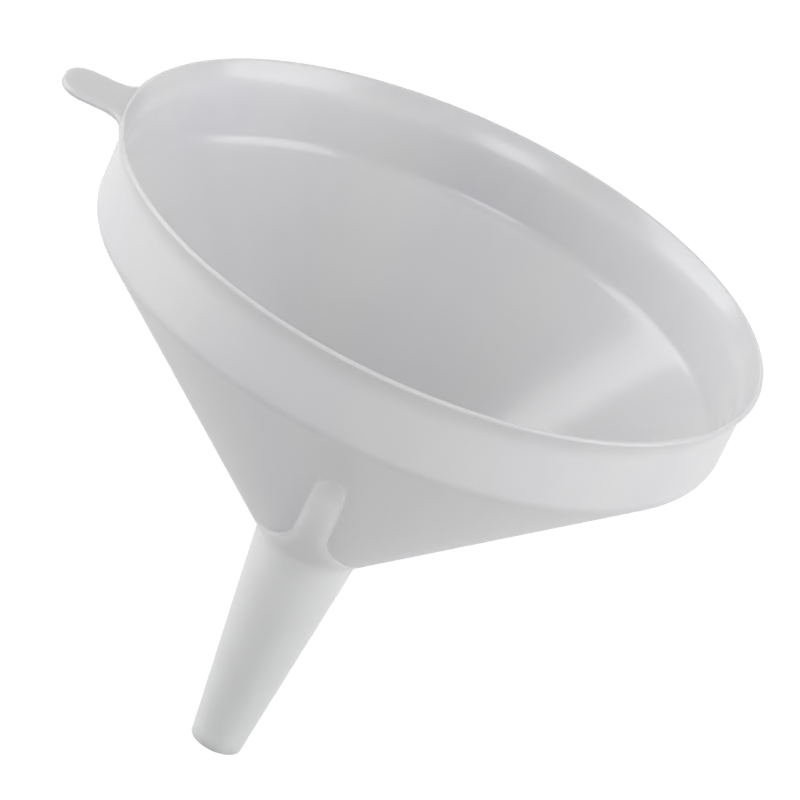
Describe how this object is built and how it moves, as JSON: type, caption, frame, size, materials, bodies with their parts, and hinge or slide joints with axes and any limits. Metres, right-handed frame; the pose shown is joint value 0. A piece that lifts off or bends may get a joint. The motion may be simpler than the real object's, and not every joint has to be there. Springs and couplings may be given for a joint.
{
  "type": "funnel",
  "caption": "Wide-mouthed moulded plastic funnel with a tall collar round the mouth, a steep cone, a slim tapered spout, a vent rib at the neck and a flat grip tab at the rim.",
  "frame": {"origin": "centre of the neck, on the funnel's axis, where the cone meets the spout: the circle that sits in a bottle's or jar's mouth", "axes": "+Z along the funnel's axis, up through the mouth; -X towards the grip tab; -Y towards the vent rib"},
  "size_m": [0.2195, 0.2, 0.1748],
  "materials": {
    "polyethylene": "natural milky polyethylene, satin, slightly translucent"
  },
  "bodies": {
    "root": {"rim_lip": "polyethylene", "collar": "polyethylene", "cone": "polyethylene", "spout": "polyethylene", "vent_rib": "polyethylene", "grip_tab": "polyethylene"}
  },
  "joints": []
}
